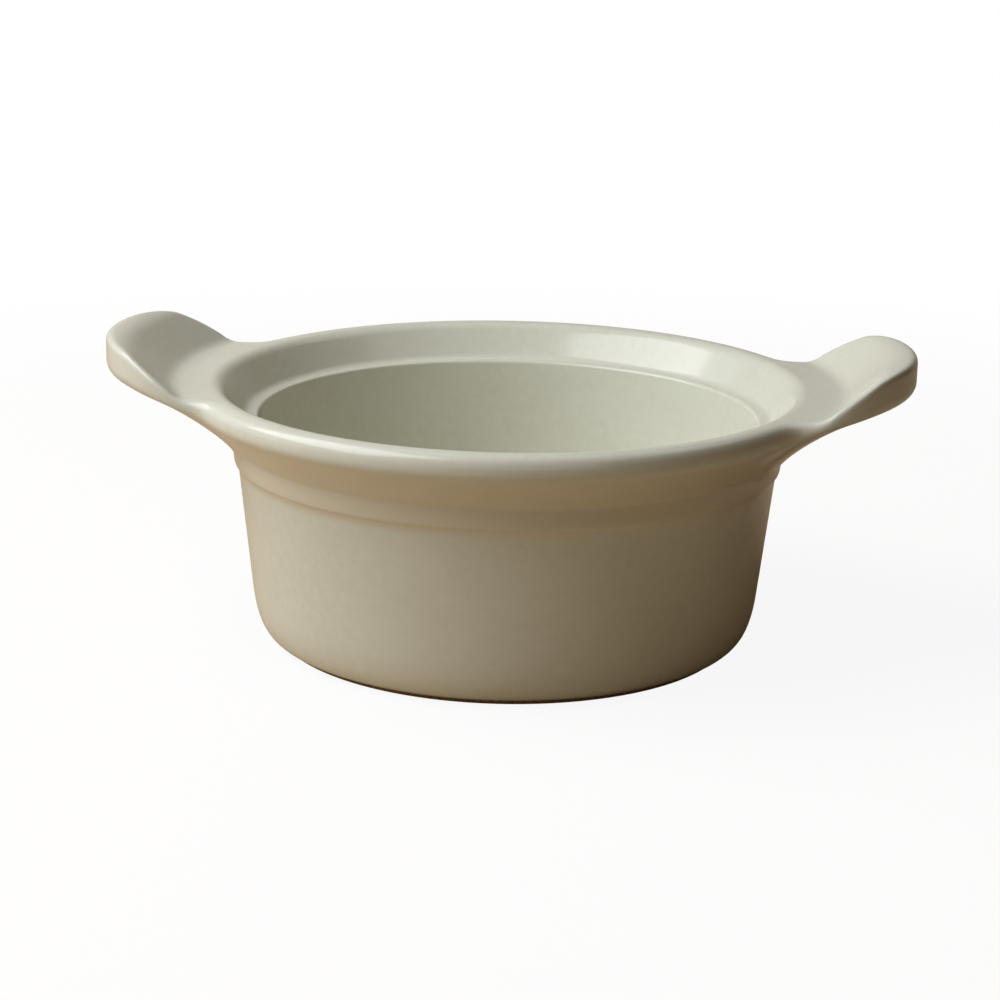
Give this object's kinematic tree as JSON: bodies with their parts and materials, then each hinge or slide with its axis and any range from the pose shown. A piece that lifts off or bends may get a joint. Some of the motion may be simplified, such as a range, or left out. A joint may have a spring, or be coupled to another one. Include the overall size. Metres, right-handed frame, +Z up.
{
  "type": "casserole dish",
  "caption": "Small round glazed stoneware casserole dish with a stepped rim that seats a lid, a coved lip and upturned ear handles, for oven and table",
  "frame": {"origin": "on the table under the middle of the dish", "axes": "+X runs from the middle through the right handle, +Y to the back, +Z up"},
  "size_m": [0.188, 0.146, 0.0707],
  "materials": {
    "glaze": "gloss",
    "bare_clay": "matte"
  },
  "bodies": {
    "root": {"bowl": "glaze", "rim_collar": "glaze", "left_handle": "glaze", "right_handle": "glaze", "foot_ring": "bare_clay"}
  },
  "joints": []
}
